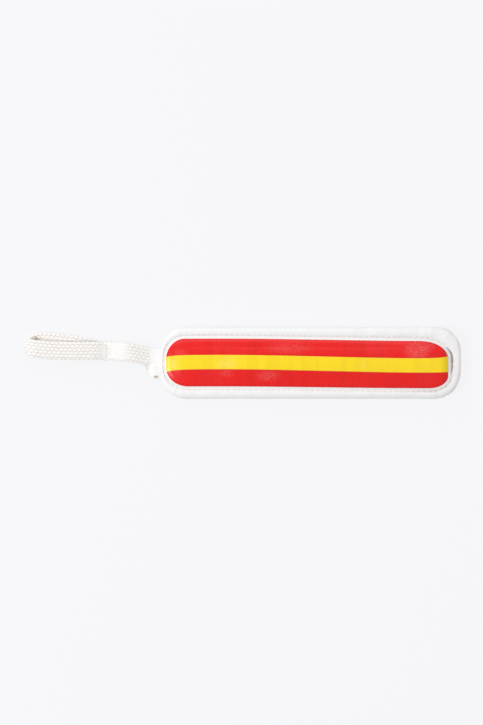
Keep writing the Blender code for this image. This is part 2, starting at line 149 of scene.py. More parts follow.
# The braid's path: distance out from the pad's end, y and z.
STRAP_WIDTH = 0.012
STRAP_THICKNESS = 0.0028
TAIL_WIDTH = 0.0100
TAIL_DEPTH = 0.014
WIDENING = 0.006
SWELL_OUT = 0.0275
# Where painted shade darkens the valley beyond the tack.
VALLEY_SHADE_OUT = 0.0425
TIP_OUT = 0.0865
HINGE_OUT = -HALF_LENGTH - HINGE.x
LOW = STRAP_THICKNESS / 2 + 0.0002
HIGH = LOW + 0.0050
TACK_OUT = 0.0365
TACK_LOW = LOW + 0.0007
TACK_HIGH = TACK_LOW + STRAP_THICKNESS - 0.0002
UPPER_Y = (UPPER_TAIL[0].y + UPPER_TAIL[1].y) / 2
LOWER_Y = (LOWER_TAIL[0].y + LOWER_TAIL[1].y) / 2
# Spots of painted shade in the loop's hollows.
NECK_SHADE_SPOT = (HINGE.x + 0.0011, LOWER_Y - TAIL_WIDTH / 2 + 0.0012)
TIP_SHADE_SPOT = (-0.1835, 0.0163)
STRAP_ROUTE = [
    (-TAIL_DEPTH, UPPER_Y, STRAP_LEVEL),
    (-TAIL_DEPTH / 2, UPPER_Y, STRAP_LEVEL),
    (0.0, UPPER_Y, STRAP_LEVEL),
    (HINGE_OUT, UPPER_Y, STRAP_LEVEL),
    (0.0080, 0.0044, STRAP_LEVEL + 0.0005),
    (0.0140, 0.0056, HIGH - 0.0002),
    (0.0220, 0.0070, HIGH),
    (0.0300, 0.0078, HIGH - 0.0003),
    (TACK_OUT, 0.0081, TACK_HIGH),
    (0.0430, 0.0081, HIGH - 0.0005),
    (0.0520, 0.0081, HIGH),
    (0.0660, 0.0082, HIGH),
    (0.0780, 0.0088, HIGH),
    (0.0860, 0.0098, HIGH - 0.0004),
    (0.0895, 0.0111, (LOW + HIGH) / 2),
    (0.0862, 0.0126, LOW + 0.0004),
    (0.0790, 0.0137, LOW),
    (0.0660, 0.0126, LOW),
    (0.0520, 0.0106, LOW),
    (0.0430, 0.0092, LOW + 0.0001),
    (TACK_OUT, 0.0082, TACK_LOW),
    (0.0290, 0.0075, LOW + 0.0002),
    (0.0200, 0.0065, LOW),
    (0.0145, 0.0055, LOW + 0.0002),
    (0.0108, 0.0036, LOW + 0.0008),
    (0.0084, -0.0006, STRAP_LEVEL - 0.0019),
    (0.0065, -0.0042, STRAP_LEVEL - 0.0006),
    (HINGE_OUT, LOWER_Y, STRAP_LEVEL),
    (0.0, LOWER_Y, STRAP_LEVEL),
    (-TAIL_DEPTH / 2, LOWER_Y, STRAP_LEVEL),
    (-TAIL_DEPTH, LOWER_Y, STRAP_LEVEL),
]

# Fixed tones: a brown for painted shade at the seam and the slit with some rub, the margin beside
# the print painted lighter, painted sheen on the film, and smooth yarn painted lighter.
SHADE_AND_GRIME_TONE = (0.66, 0.54, 0.475)
LIT_MARGIN_TONE = (0.97, 0.97, 0.97)
SHEEN_WHITE = 0.9
SHEEN_SHARE = 0.12
SMOOTH_LIT_YARN = (0.96, 0.95, 0.935)

# The lamps: name, place, size and power. They shine on a point near the pad's middle.
LAMPS = [
    ("left_softbox", (-0.72, -0.18, 0.86), 0.30, 5.0),
    ("right_softbox", (1.05, 0.40, 0.60), 0.9, 1.6),
    ("back_softbox", (-0.25, 1.12, 0.80), 1.2, 6.0),
]
LAMP_TARGET = Vector(((RIM_LOW.x + RIM_HIGH.x) / 2 - 0.03, 0.0, 0.0))
WORLD_STRENGTH = 0.54

# The camera looks straight down on a view this high, at the height of the pad's middle.
VIEW_CENTRE = (-0.0462, 0.0003, 0.006)
VIEW_HEIGHT = 1.45 / 3
LENS_MM = 90.0
SENSOR_MM = 36.0


# Properties


def length(name, description, default):
    """A length that a user may change."""
    return FloatProperty(name=name, description=description, default=default, unit="LENGTH")


def colour(name, description, default):
    """A colour that a user may change."""
    return FloatVectorProperty(
        name=name, description=description, default=default, subtype="COLOR"
    )


class BatonSizes(bpy.types.PropertyGroup):
    """Sizes of the sewing, the braid and the padding."""

    stitch_pitch: length("Stitch pitch", "Distance from one stitch to the next", 0.00375)
    stitch_length: length("Stitch length", "Length of thread that shows in one stitch", 0.0027)
    thread_radius: length("Thread radius", "Half the sewing thread's thickness", 0.00021)
    dimple: length("Dimple depth", "How far each needle hole draws the leatherette down", 0.00028)
    pucker: length(
        "Pucker depth", "Height of the wrinkles where the binding turns a corner", 0.00030
    )
    braid_pitch: length(
        "Braid pitch", "Distance from one yarn float to the next along the strap", 0.0030
    )
    braid_columns: IntProperty(
        name="Braid columns",
        description="Columns of yarn floats round the flat braid",
        default=12,
        min=6,
    )
    float_height: length("Float height", "How far the yarn floats stand out of the braid", 0.00048)
    swell: length("Padding swell", "The most that the foam may push the face outwards", 0.0007)


class BatonColours(bpy.types.PropertyGroup):
    """Colours of the sheet goods, yarns and films."""

    leather: colour("Leatherette", "Colour of the white leatherette", (0.905, 0.90, 0.905))
    backing: colour("Backing", "Colour of the leatherette's knitted backing", (0.50, 0.38, 0.32))
    red: colour("Red film", "Colour of the two red bands", (0.835, 0.0068, 0.0064))
    yellow: colour("Yellow film", "Colour of the yellow band", (1.0, 0.72, 0.011))
    braid: colour("Braid", "Colour of the strap's yarn", (0.95, 0.93, 0.91))
    # The braid gap colour is painted shade between the yarns.
    braid_gap_shade: colour("Braid gaps", "Colour between the strap's yarns", (0.55, 0.455, 0.385))
    thread: colour("Thread", "Colour of the sewing thread", (0.80, 0.80, 0.79))
    foam: colour("Foam", "Colour of the foam sheets", (0.84, 0.82, 0.79))
    board: colour("Board", "Colour of the stiffener board", (0.16, 0.16, 0.17))


# Shader nodes


class Wire:
    """A shader socket that can be used in Python expressions."""

    def __init__(self, tree, socket):
        self.tree = tree
        self.socket = socket

    def math(self, operation, *others):
        """A Math node on this value and the others."""
        values = dict(enumerate([self, *others]))
        return self.tree.node("ShaderNodeMath", {"operation": operation}, values)

    def __add__(self, other):
        return self.math("ADD", other)

    def __radd__(self, other):
        return self.math("ADD", other)

    def __sub__(self, other):
        return self.math("SUBTRACT", other)

    def __rsub__(self, other):
        values = {0: other, 1: self}
        return self.tree.node("ShaderNodeMath", {"operation": "SUBTRACT"}, values)

    def __mul__(self, other):
        return self.math("MULTIPLY", other)

    def __rmul__(self, other):
        return self.math("MULTIPLY", other)

    def clamp(self):
        """This value held between 0 and 1."""
        return self.tree.node("ShaderNodeClamp", {}, {0: self})

    def span(self, low, high):
        """0 where this value is at low, 1 at high, and smooth between them."""
        settings = {"interpolation_type": "SMOOTHSTEP"}
        return self.tree.node("ShaderNodeMapRange", settings, {0: self, 1: low, 2: high})


class Finish:
    """A material under construction, on a Principled shader."""

    def __init__(self, name, roughness, **constants):
        self.material = bpy.data.materials.new(name)
        self.material.use_nodes = True
        self.nodes = self.material.node_tree.nodes
        self.links = self.material.node_tree.links
        self.shader = self.nodes["Principled BSDF"]
        self.shader.inputs["Roughness"].default_value = roughness
        for key, value in constants.items():
            self.shader.inputs[key.replace("_", " ")].default_value = value

    def node(self, kind, settings, values, output=0):
        """Any node: its settings first, then the values or links of its sockets."""
        made = self.nodes.new(kind)
        for key, value in settings.items():
            setattr(made, key, value)
        for key, value in values.items():
            socket = made.inputs[key]
            if isinstance(value, Wire):
                self.links.new(value.socket, socket)
            elif hasattr(value, "__len__") and socket.type == "RGBA" and len(value) == 3:
                socket.default_value = (*value, 1.0)
            else:
                socket.default_value = value
        return Wire(self, made.outputs[output])

    def place(self, scale=(1.0, 1.0, 1.0), turn=0.0):
        """The piece's own coordinates in metres, stretched and turned about Z."""
        where = self.node("ShaderNodeTexCoord", {}, {}, "Object")
        values = {"Vector": where, "Scale": scale, "Rotation": (0.0, 0.0, turn)}
        return self.node("ShaderNodeMapping", {}, values)

    def spot(self, x, y, half_x, half_y):
        """A soft round patch, 1 at its middle and 0 outside it."""
        shift = (-x / half_x, -y / half_y, 0.0)
        stretch = (1.0 / half_x, 1.0 / half_y, 0.0)
        where = self.node("ShaderNodeTexCoord", {}, {}, "Object")
        values = {"Vector": where, "Location": shift, "Scale": stretch}
        moved = self.node("ShaderNodeMapping", {}, values)
        away = self.node("ShaderNodeVectorMath", {"operation": "LENGTH"}, {0: moved}, "Value")
        return away.span(1.0, 0.25)

    def axis(self, where, name):
        """One axis of a vector."""
        return self.node("ShaderNodeSeparateXYZ", {}, {0: where}, name)

    def noise(self, where, scale, detail=3.0, roughness=0.55):
        """Soft noise from 0 to 1."""
        values = {"Vector": where, "Scale": scale, "Detail": detail, "Roughness": roughness}
        return self.node("ShaderNodeTexNoise", {}, values)

    def cells(self, where, scale):
        """Distances to scattered cell centres."""
        return self.node("ShaderNodeTexVoronoi", {}, {"Vector": where, "Scale": scale})

    def attribute(self, name):
        """A number stored on the mesh."""
        return self.node("ShaderNodeAttribute", {"attribute_name": name}, {}, "Fac")

    def mix(self, share, first, second):
        """One colour at share 0, the other at share 1."""
        values = {0: share, 6: first, 7: second}
        return self.node("ShaderNodeMix", {"data_type": "RGBA"}, values, 2)

    def colour(self, wire):
        """Feed the base colour."""
        self.links.new(wire.socket, self.shader.inputs["Base Color"])

    def roughness(self, wire):
        """Feed the roughness."""
        self.links.new(wire.socket, self.shader.inputs["Roughness"])

    def bump(self, wire, distance, strength=1.0):
        """Feed the normal with a height, as a share of a distance."""
        values = {"Height": wire, "Distance": distance, "Strength": strength}
        normal = self.node("ShaderNodeBump", {}, values)
        self.links.new(normal.socket, self.shader.inputs["Normal"])


def shade_of(colour, share):
    """A colour made darker, or lighter above 1."""
    return tuple(min(1.0, part * share) for part in colour)


def leather_finish(name, colour):
    """White leatherette: a fine pebbled grain, faint mottling, a margin painted lighter, and
    painted shade with a little rub at the seam and the slit.
    """
    made = Finish(name, 0.42)
    where = made.place()
    pebble = made.cells(where, 1900.0)
    fine = made.noise(where, 5200.0, 2.0)
    broad = made.noise(where, 90.0, 4.0)
    shade_and_grime = made.attribute("shade_and_grime")
    lit_margin = made.attribute("lit_margin")
    base = made.mix(broad.span(0.35, 0.7), shade_of(colour, 0.98), colour)
    # Painted light: this mask makes the margin beside the print lighter than the rest of the
    # leatherette.
    edged = made.mix(lit_margin, base, LIT_MARGIN_TONE)
    grain_and_sheen = made.mix(pebble.span(0.30, 0.62) * 0.10, edged, shade_of(colour, 0.80))
    # Painted shade: this mask mixes in a brown where shade falls in the seam, its needle holes and
    # the slit, and on the rubbed far end.
    made.colour(made.mix(shade_and_grime, grain_and_sheen, SHADE_AND_GRIME_TONE))
    made.roughness(0.40 + broad * 0.08 + shade_and_grime * 0.25)
    made.bump(pebble * -0.8 + fine * 0.35, 0.00007, 0.7)
    return made.material


def backing_finish(colour):
    """The leatherette's knitted backing and its cut edge."""
    made = Finish("leatherette_backing", 0.95)
    where = made.place()
    loops = made.cells(where, 1500.0)
    made.colour(made.mix(loops.span(0.1, 0.6), colour, shade_of(colour, 0.55)))
    made.bump(loops, 0.0002, 0.8)
    return made.material


def film_finish(name, colour, sheen_patches):
    """Printed film: glossy with a leather grain, faint creases with painted shade, painted shade at
    its +X end, and patches of painted sheen and highlight.
    """
    made = Finish(name, 0.28, Specular_IOR_Level=0.40)
    where = made.place()
    peel = made.noise(where, 1500.0, 2.0)
    grain = made.cells(where, 1500.0)
    folds = made.noise(made.place((1.0, 0.16, 1.0), 0.06), 150.0, 3.0)
    broad = made.noise(made.place((1.0, 0.6, 1.0)), 42.0, 2.0)
    flecks = made.noise(where, 900.0, 3.0, 0.7)
    # Painted shade along the faint folds.
    fold_shaded = made.mix(folds.span(0.40, 0.62) * 0.6, colour, shade_of(colour, 0.90))
    # Painted sheen: a pale tint mixed into the film in broad patches and listed spots, flecked by
    # noise.
    sheen_tint = tuple(part * (1 - SHEEN_SHARE) + SHEEN_SHARE * SHEEN_WHITE for part in colour)
    grain_and_sheen = broad.span(0.50, 0.72) * 0.08
    for x, y, half_x, half_y, strength in sheen_patches:
        grain_and_sheen = grain_and_sheen + made.spot(x, y, half_x, half_y) * strength
    # Painted shade at the print's +X end, where the dome turns away from the light.
    end_shaded = made.mix(made.axis(where, "X").span(0.0850, 0.0905) * 0.8, fold_shaded, shade_of(colour, 0.76))
    made.colour(made.mix((grain_and_sheen * flecks.span(0.38, 0.60)).clamp(), end_shaded, sheen_tint))
    made.roughness(0.24 + grain_and_sheen * 0.10 + grain.span(0.2, 0.6) * 0.06)
    made.bump(peel * 0.4 + grain * 0.5 + folds * 1.8, 0.00006, 0.6)
    return made.material


def braid_finish(colour, gap_shade_colour):
    """Spun yarn: fibres along each float, painted shade in the gaps between the floats, and smooth
    yarn painted lighter.
    """
    made = Finish("white_braid", 0.85, Sheen_Weight=0.25, Sheen_Roughness=0.5)
    gap = made.attribute("gap")
    smooth_and_lit = made.attribute("smooth_and_lit")
    where = made.node("ShaderNodeUVMap", {"uv_map": "UVMap"}, {})
    slant = made.attribute("slant")
    along = made.axis(where, "X")
    around = made.axis(where, "Y")
    strands = along * 150.0 + around * 620.0 * slant
    ridges = strands.math("SINE") * 0.5 + 0.5
    fibre = made.noise(made.place(), 2600.0, 3.0, 0.7)
    soft = made.noise(made.place(), 160.0, 2.0)
    yarn = made.mix(soft.span(0.3, 0.7), colour, shade_of(colour, 0.97))
    lines = made.mix(ridges * 0.12 + fibre * 0.10, yarn, shade_of(colour, 0.78))
    # Painted light: smooth yarn is drawn without fibre lines and painted lighter.
    smooth_lit_yarn = made.mix(smooth_and_lit, lines, SMOOTH_LIT_YARN)
    # Painted shade: the gap layer darkens the gaps between floats, the valley and the loop's
    # hollows.
    made.colour(made.mix(gap.span(0.10, 0.95), smooth_lit_yarn, gap_shade_colour))
    made.bump(ridges * 0.5 + fibre * 0.6, 0.00012, 0.6)
    return made.material


def thread_finish(name, colour):
    """Twisted sewing thread."""
    made = Finish(name, 0.6)
    where = made.place((1.0, 1.0, 1.0), 0.7)
    twist = (made.axis(where, "X") * 14000.0).math("SINE") * 0.5 + 0.5
    fuzz = made.noise(made.place(), 3000.0)
    made.colour(made.mix(twist * 0.15 + fuzz * 0.10, colour, shade_of(colour, 0.75)))
    made.bump(twist * 0.7 + fuzz * 0.3, 0.00008, 0.6)
    return made.material


def foam_finish(colour):
    """Open-celled foam."""
    made = Finish("foam", 0.95)
    cells = made.cells(made.place(), 1600.0)
    tone = made.noise(made.place(), 60.0)
    base = made.mix(tone.span(0.3, 0.7), colour, shade_of(colour, 0.90))
    made.colour(made.mix(cells.span(0.45, 0.1), base, shade_of(colour, 0.72)))
    made.bump(cells, 0.0003, 0.9)
    return made.material


def board_finish(colour):
    """Pressed plastic board with a brushed face."""
    made = Finish("stiffener_plastic", 0.5)
    brushed = made.noise(made.place((1.0, 14.0, 1.0)), 120.0, 4.0)
    speck = made.noise(made.place(), 1500.0)
    made.colour(made.mix(brushed.span(0.35, 0.7), colour, shade_of(colour, 1.35)))
    made.roughness(0.42 + brushed * 0.2)
    made.bump(brushed * 0.6 + speck * 0.4, 0.00006, 0.6)
    return made.material


# Shapes


def smooth(value, low, high):
    """0 below low, 1 above high, and smooth between them."""
    share = min(1.0, max(0.0, (value - low) / (high - low)))
    return share * share * (3 - 2 * share)


def lean(x):
    """How far the print drifts towards -Y: 0 at the strap's end and 1 at the far end."""
    return smooth(x, -0.060, 0.080)


def near_left(x):
    """1 at the print's -X end, fading inwards."""
    return exp(-(x - PRINT_LEFT) / 0.006)


def near_right(x):
    """1 at the print's +X end, fading inwards."""
    return exp(-(PRINT_RIGHT - x) / 0.006)


def print_top(x):
    """The print's +Y edge."""
    return PRINT_TOP - 0.0002 - 0.0016 * lean(x)


def print_bottom(x):
    """The print's -Y edge."""
    return PRINT_BOTTOM + 0.0008 - 0.0012 * lean(x)


def yellow_top(x):
    """The yellow band's +Y edge."""
    flared = 0.0013 * near_right(x) - 0.0013 * near_left(x)
    return YELLOW_HIGH.y + 0.0008 - 0.0023 * lean(x) + flared


def yellow_bottom(x):
    """The yellow band's -Y edge."""
    flared = 0.0004 * near_right(x) - 0.0020 * near_left(x)
    return YELLOW_LOW.y + 0.0004 - 0.0023 * lean(x) + flared


def even_places(line, count):
    """Evenly spaced places along a line, each an index with a fraction, and its length."""
    lengths = [0.0]
    for a, b in zip(line, line[1:]):
        lengths.append(lengths[-1] + (b - a).length)
    places = []
    at = 0
    for step in range(count + 1):
        goal = lengths[-1] * step / count
        while at < len(line) - 2 and lengths[at + 1] < goal:
            at += 1
        gap = lengths[at + 1] - lengths[at]
        share = (goal - lengths[at]) / gap if gap > 0 else 0.0
        places.append((at, min(1.0, share)))
    return places, lengths[-1]


def along_line(line, count):
    """Points at even steps along a line, and the line's length."""
    places, length = even_places(line, count)
    return [line[at].lerp(line[at + 1], share) for at, share in places], length


def signed_power(value, power):
    """A power that keeps its value's sign, and takes a rounding error as 0."""
    return 0.0 if abs(value) < 1e-9 else copysign(abs(value) ** power, value)


def flat_tree(points):
    """Flat points as a tree to measure from."""
    tree = KDTree(len(points))
    for number, point in enumerate(points):
        tree.insert((point.x, point.y, 0.0), number)
    tree.balance()
    return tree


def corner_arc(centre, reach, start, squareness, steps):
    """A quarter of a squared ellipse, from an angle on, counter-clockwise."""
    points = []
    for step in range(steps + 1):
        angle = start + pi / 2 * step / steps
        x = signed_power(cos(angle), 2 / squareness)
        y = signed_power(sin(angle), 2 / squareness)
        points.append(Vector((centre[0] + reach[0] * x, centre[1] + reach[1] * y)))
    return points


def print_outline():
    """The print's outline, counter-clockwise, at even steps."""
    right_top = (0.020, 0.0125)
    left_top = (0.0125, 0.0140)
    left_bottom = (0.0145, 0.0125)
    right_bottom = (0.0130, 0.0085)
    corners = [
        (1, print_top, right_top, 0.0, 2.15),
        (-1, print_top, left_top, pi / 2, 2.0),
        (-1, print_bottom, left_bottom, pi, 2.0),
        (1, print_bottom, right_bottom, 3 * pi / 2, 2.1),
    ]
    rough = []
    for side, edge, reach, start, squareness in corners:
        x = PRINT_RIGHT - reach[0] if side > 0 else PRINT_LEFT + reach[0]
        flip = 1 if edge is print_top else -1
        arc = corner_arc((x, edge(x) - flip * reach[1]), reach, start, squareness, 24)
        rough += arc
        if start in (0.0, pi):
            last = PRINT_LEFT + left_top[0] if start == 0.0 else PRINT_RIGHT - right_bottom[0]
            steps = 60
            for step in range(1, steps):
                along = x + (last - x) * step / steps
                rough.append(Vector((along, edge(along))))
    ring, _ = along_line(rough + [rough[0]], 640)
    return ring[:-1]


def outward(points):
    """The outward direction at each point of a closed line, softened along it."""
    count = len(points)
    raw = []
    for index in range(count):
        along = points[(index + 1) % count] - points[index - 1]
        raw.append(Vector((along.y, -along.x)).normalized())
    soft = []
    for index in range(count):
        total = Vector((0.0, 0.0))
        for shift in range(-9, 10):
            total += raw[(index + shift) % count] * (10 - abs(shift))
        soft.append(total.normalized())
    return soft


def inside_pad(point):
    """Whether a point lies inside the pad's outline, which is rounder at one corner."""
    corner = WORN_CORNER if point.x > 0 > point.y else PAD_CORNER
    across = max(0.0, abs(point.x) - (HALF_LENGTH - corner))
    up = max(0.0, abs(point.y) - (HALF_WIDTH - corner))
    if across > corner or up > corner:
        return False
    return (across / corner) ** PAD_SQUARENESS + (up / corner) ** PAD_SQUARENESS <= 1


def to_rim(point, direction):
    """The distance from a point to the pad's outline, along a direction."""
    near, far = 0.0, 0.030
    for _ in range(24):
        middle = (near + far) / 2
        if inside_pad(point + direction * middle):
            near = middle
        else:
            far = middle
    return near


EDGE = print_outline()
EDGE_OUT = outward(EDGE)
COUNT = len(EDGE)
REACH = [to_rim(point, out) for point, out in zip(EDGE, EDGE_OUT)]
SPINE_HALF = HALF_WIDTH - 0.0065
EDGE_TREE = flat_tree(EDGE)


def ring_point(share, offset):
    """A point of the print's outline, by its share of the way round, moved outwards."""
    place = share % 1.0 * COUNT
    index = int(place) % COUNT
    after = (index + 1) % COUNT
    part = place - int(place)
    here = EDGE[index] + EDGE_OUT[index] * offset
    there = EDGE[after] + EDGE_OUT[after] * offset
    return here.lerp(there, part)


def spine_point(rim):
    """The point of the pad's middle line that is nearest to a point of its rim."""
    return Vector((min(max(rim.x, PRINT_LEFT + SPINE_HALF), PRINT_RIGHT - SPINE_HALF), 0.0))


def ring_reach(share):
    """The distance from the print's outline to the pad's, at a share of the way round."""
    place = share % 1.0 * COUNT
    index = int(place) % COUNT
    part = place - int(place)
    return REACH[index] * (1 - part) + REACH[(index + 1) % COUNT] * part


def gape(point):
    """How wide the seam stands open: 1 in the slit's middle and 0 away from it."""
    if point.x < SLIT_START_X:
        return 0.0
    share = (point.y - SLIT_CENTRE_Y) / SLIT_HALF
    waves = noise.noise(Vector((point.x * 300.0, point.y * 420.0, 2.0)))
    return max(0.0, 1.0 - share * share) ** 0.55 * (0.95 + 0.22 * waves)


def to_edge(x, y):
    """The distance from the seam inwards, and whether the point is inside it."""
    _, index, _ = EDGE_TREE.find((x, y, 0.0))
    spot = Vector((x, y))
    nearest = 1.0
    for start in (index - 1, index):
        along = EDGE[(start + 1) % COUNT] - EDGE[start]
        share = (spot - EDGE[start]).dot(along) / along.length_squared
        foot = EDGE[start] + along * min(1.0, max(0.0, share))
        nearest = min(nearest, (spot - foot).length)
    side = (spot - EDGE[index]).dot(EDGE_OUT[index])
    return nearest if side < 0 else -nearest


def dome(x, y):
    """The face's height: domed by the foam and drawn down at the seam."""
    depth = to_edge(x, y) + LIP_OFFSET
    share = min(1.0, max(0.0, 1 - depth / (SPINE_HALF + LIP_OFFSET)))
    rise = FACE_TOP - FLANGE_TOP
    bulge = FLANGE_TOP + FOAM_SPARE + rise * (1 - share**2.4) ** 0.6
    hold = LIP_TOP - LIP_SPARE
    return max(bulge, hold) if depth > 0.0002 else hold


def creases(x, y):
    """Faint folds across the face."""
    folds = noise.noise(Vector((x * 95.0 + y * 9.0, y * 14.0, 3.0)))
    waves = noise.noise(Vector((x * 30.0, y * 26.0, 9.0)))
    return 0.00010 * folds + 0.00016 * waves


class Sheet:
    """A grid of points moved onto a surface, then closed where its edges meet."""

    def __init__(self, columns, rows):
        self.mesh = bmesh.new()
        self.mesh.loops.layers.uv.new("UVMap")
        bmesh.ops.create_grid(
            self.mesh, x_segments=columns, y_segments=rows, size=0.5, calc_uvs=True
        )

    def numbers(self, name):
        """A layer of numbers on the points."""
        return self.mesh.verts.layers.float.new(name)

    def rows_inside(self, low, high):
        """Give the faces between two heights of the grid the second material."""
        for face in self.mesh.faces:
            height = face.calc_center_median().y + 0.5
            if low < height < high:
                face.material_index = 1

    def finish(self, name, materials, ends=False):
        """Merge, close and smooth the grid, and make it an object."""
        bmesh.ops.remove_doubles(self.mesh, verts=self.mesh.verts, dist=1e-7)
        if ends:
            rims = [edge for edge in self.mesh.edges if edge.is_boundary]
            bmesh.ops.holes_fill(self.mesh, edges=rims, sides=0)
        bmesh.ops.recalc_face_normals(self.mesh, faces=self.mesh.faces)
        return as_object(self.mesh, name, materials)


def as_object(mesh, name, materials):
    """A bmesh made a smooth object in the scene."""
    data = bpy.data.meshes.new(name)
    mesh.to_mesh(data)
    mesh.free()
    for material in materials:
        data.materials.append(material)
    data.shade_smooth()
    made = bpy.data.objects.new(name, data)
    bpy.context.scene.collection.objects.link(made)
    return made


def settle(piece, node):
    """Make a piece ride on the pad, and hide the node that it stands for."""
    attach(piece, "pad")
    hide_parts(node)


# The strap


def strap_line():
    """Points along the braid's middle, on a smooth curve through the route."""
    knots = [Vector((-HALF_LENGTH - out, y, z)) for out, y, z in STRAP_ROUTE]
    ends = [knots[0]] + knots + [knots[-1]]
    curve = []
    for index in range(1, len(ends) - 2):
        a, b, c, d = ends[index - 1 : index + 3]
        for step in range(24):
            t = step / 24
            square = 2 * a - 5 * b + 4 * c - d
            cube = 3 * b - a - 3 * c + d
            curve.append(0.5 * (2 * b + (c - a) * t + square * t**2 + cube * t**3))
    curve.append(knots[-1])
    return curve


def flat_section(width, thickness, share):
    """A point and its outward direction on a flat section, by its share of the way round."""
    half = thickness / 2
    flat = width - thickness
    turn = pi * half
    place = share * 2 * (flat + turn)
    side = 1 if place < flat + turn else -1
    place -= 0 if side > 0 else flat + turn
    if place < flat:
        return Vector((side * (flat / 2 - place), side * half)), Vector((0.0, side))
    angle = pi / 2 + (place - flat) / half
    out = Vector((cos(angle) * side, sin(angle) * side))
    return Vector((-side * flat / 2, 0.0)) + out * half, out


def float_height(share, distance, sizes):
    """The yarn floats' height from 0 to 1, and their slant, at a place on the braid."""
    place = share * sizes.braid_columns
    best = 0.0
    slant = 1
    for column in (int(place) - 1, int(place), int(place) + 1):
        lie = 1 if column % 2 else -1
        across = place - column - 0.5
        along = distance / sizes.braid_pitch + 0.5 * (column % 2) + 0.30 * lie * across
        along -= round(along)
        height = 1 - (across / 0.66) ** 2 - (along / 0.62) ** 2
        if height > best:
            best = height
            slant = lie
    return best, slant


def shaded_spot(point, middle, half_x, half_y):
    """A soft spot on the braid: 1 at its middle, fading outwards."""
    x = (point.x - middle[0]) / half_x
    y = (point.y - middle[1]) / half_y
    return exp(-(x**2) - y**2)


def build_strap(sizes, colours):
    """The braided strap, from its upper tail round the loop to its lower tail."""
    columns, rows = 864, 96
    points, length = along_line(strap_line(), columns)
    made = Sheet(columns, rows)
    gap_shade = made.numbers("gap")
    slants = made.numbers("slant")
    smooth_and_lit_marks = made.numbers("smooth_and_lit")
    across = Vector((0.0, 1.0, 0.0))
    for vert in made.mesh.verts:
        index = round((vert.co.x + 0.5) * columns)
        share = vert.co.y + 0.5
        here = points[index]
        ahead = points[min(index + 2, columns)] - points[max(index - 2, 0)]
        through = Vector((-ahead.z, 0.0, ahead.x)).normalized()
        out = -HALF_LENGTH - here.x
        widened = smooth(out, HINGE_OUT, HINGE_OUT + WIDENING)
        width = TAIL_WIDTH + (STRAP_WIDTH - TAIL_WIDTH) * widened
        width *= 1 - 0.30 * smooth(out, TIP_OUT, TIP_OUT + 0.004)
        pinch = exp(-(((out - TACK_OUT) / 0.0035) ** 2))
        smooth_and_lit = 1 - smooth(out, HINGE_OUT + 0.0018, HINGE_OUT + 0.0040)
        roll = exp(-(((out - HINGE_OUT) / 0.0024) ** 2))
        swell = exp(-(((out - SWELL_OUT) / 0.0052) ** 2))
        thickness = STRAP_THICKNESS - 0.0006 * pinch - sizes.float_height * 1.2
        thickness *= 0.75 if out < 0.0005 else 1.0
        spot, normal = flat_section(width - sizes.float_height, thickness, share % 1.0)
        crown, slant = float_height(share % 1.0, length * index / columns, sizes)
        height = sqrt(crown)
        faded = max(0.75 * swell, 0.7 * pinch, 0.7 * smooth_and_lit)
        raised = sizes.float_height * (height * (1 - faded) + 0.85 * faded)
        fill = 0.0
        upper = normal.y > 0.5 and here.z > STRAP_LEVEL - 0.001
        if upper:
            fill = 0.0006 * swell + 0.0004 * roll
        elif normal.y > 0.5:
            fill = 0.0010 * smooth(out, 0.046, 0.056) * (1 - smooth(out, 0.080, 0.088))
        spot = spot + normal * (raised + fill)
        vert.co = here + across * spot.x + through * spot.y
        # Painted shade: in the gaps between floats, in the valley beyond the tack and in the loop's
        # hollows.
        valley_shade = 0.30 * exp(-(((out - VALLEY_SHADE_OUT) / 0.0050) ** 2)) if upper else 0.0
        hollow_shade = 1.6 * shaded_spot(vert.co, NECK_SHADE_SPOT, 0.0013, 0.0007)
        if normal.y > 0.5 and here.z < STRAP_LEVEL - 0.001:
            hollow_shade += 0.9 * shaded_spot(vert.co, TIP_SHADE_SPOT, 0.0022, 0.0014)
        vert[gap_shade] = (1 - crown) ** 1.7 * (1 - faded) + valley_shade + hollow_shade
        vert[slants] = slant
        # Smooth yarn on the swell, by the pad and at the tip: really smooth, and painted lighter as
        # a painted highlight.
        vert[smooth_and_lit_marks] = 0.8 * max(swell, smooth_and_lit, 0.8 * smooth(out, 0.082, 0.089))
    finish = braid_finish(colours.braid, colours.braid_gap_shade)
    strap = made.finish("wrist_strap", [finish], ends=True)
    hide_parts("wrist_loop", "upper_strap_tail", "lower_strap_tail")
    return strap, points[::3] + [points[-1]], length


